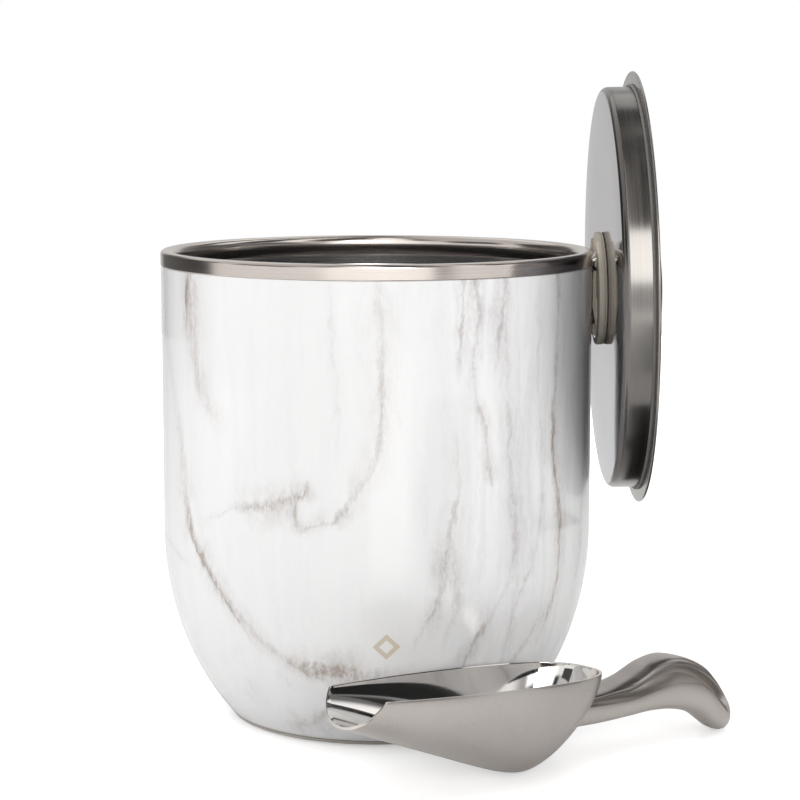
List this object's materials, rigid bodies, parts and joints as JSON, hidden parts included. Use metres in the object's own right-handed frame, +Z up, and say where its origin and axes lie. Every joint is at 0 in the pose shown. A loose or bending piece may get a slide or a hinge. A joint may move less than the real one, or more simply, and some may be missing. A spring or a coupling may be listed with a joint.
{
  "type": "ice bucket",
  "caption": "Double-wall ice bucket with a marble-pattern wall, a lid hung beside it on a magnetic rim clip, and a loose steel ice scoop.",
  "frame": {"origin": "centre of the base pad's underside, where the bucket's axis meets the surface it stands on", "axes": "+Z up along the bucket's axis; +X towards the lid hung on its clip; -Y towards the front, where the scoop lies"},
  "size_m": [0.2489, 0.254, 0.2844],
  "materials": {
    "rim_steel": "brushed, warm tone",
    "shell_print": "glossy white marble print",
    "liner_steel": "satin, spun",
    "jacket_steel": "plain mill finish, hidden",
    "cap_steel": "satin",
    "foot_rubber": "matt, fine grain",
    "lid_steel": "circumferential brushing",
    "seal_silicone": "translucent, soft",
    "lid_insulation": "foam, hidden",
    "magnet_steel": "nickel plated, hidden",
    "screw_steel": "zinc plated, hidden",
    "strap_steel": "bright, bent strip",
    "puck_silicone": "matt taupe",
    "scoop_steel": "satin outside, polished inside"
  },
  "bodies": {
    "bucket": {"outer_shell": "shell_print", "rim_ring": "rim_steel", "inner_liner": "liner_steel", "vacuum_bottom": "jacket_steel", "seal_bead": "jacket_steel", "getter": "jacket_steel", "base_cap": "cap_steel", "base_pad": "foot_rubber"},
    "hanger": {"hanger_strap": "strap_steel", "hanger_pad": "puck_silicone", "hanger_foot": "puck_silicone", "puck_housing": "puck_silicone", "puck_cover": "puck_silicone", "puck_magnet": "magnet_steel", "puck_rivets": "screw_steel"},
    "lid": {"lid_cover": "lid_steel", "lid_plug_pan": "lid_steel", "lid_seal_ring": "seal_silicone", "lid_foam": "lid_insulation", "lid_keeper": "magnet_steel", "lid_knob": "lid_steel", "knob_screw": "screw_steel", "knob_washer": "screw_steel"},
    "scoop": {"scoop_bowl": "scoop_steel", "scoop_handle": "scoop_steel", "scoop_rivets": "scoop_steel"}
  },
  "joints": [
    {"name": "hanger_lift", "type": "slide", "parent": "bucket", "child": "hanger", "axis": [0, 0, 1], "range_m": [0, 0.06]},
    {"name": "lid_pull", "type": "slide", "parent": "hanger", "child": "lid", "axis": [0.9998, 0, 0.0209], "range_m": [0, 0.1]},
    {"name": "scoop_lift", "type": "slide", "parent": "bucket", "child": "scoop", "axis": [0, -0.8, 0.6], "range_m": [0, 0.15]}
  ]
}
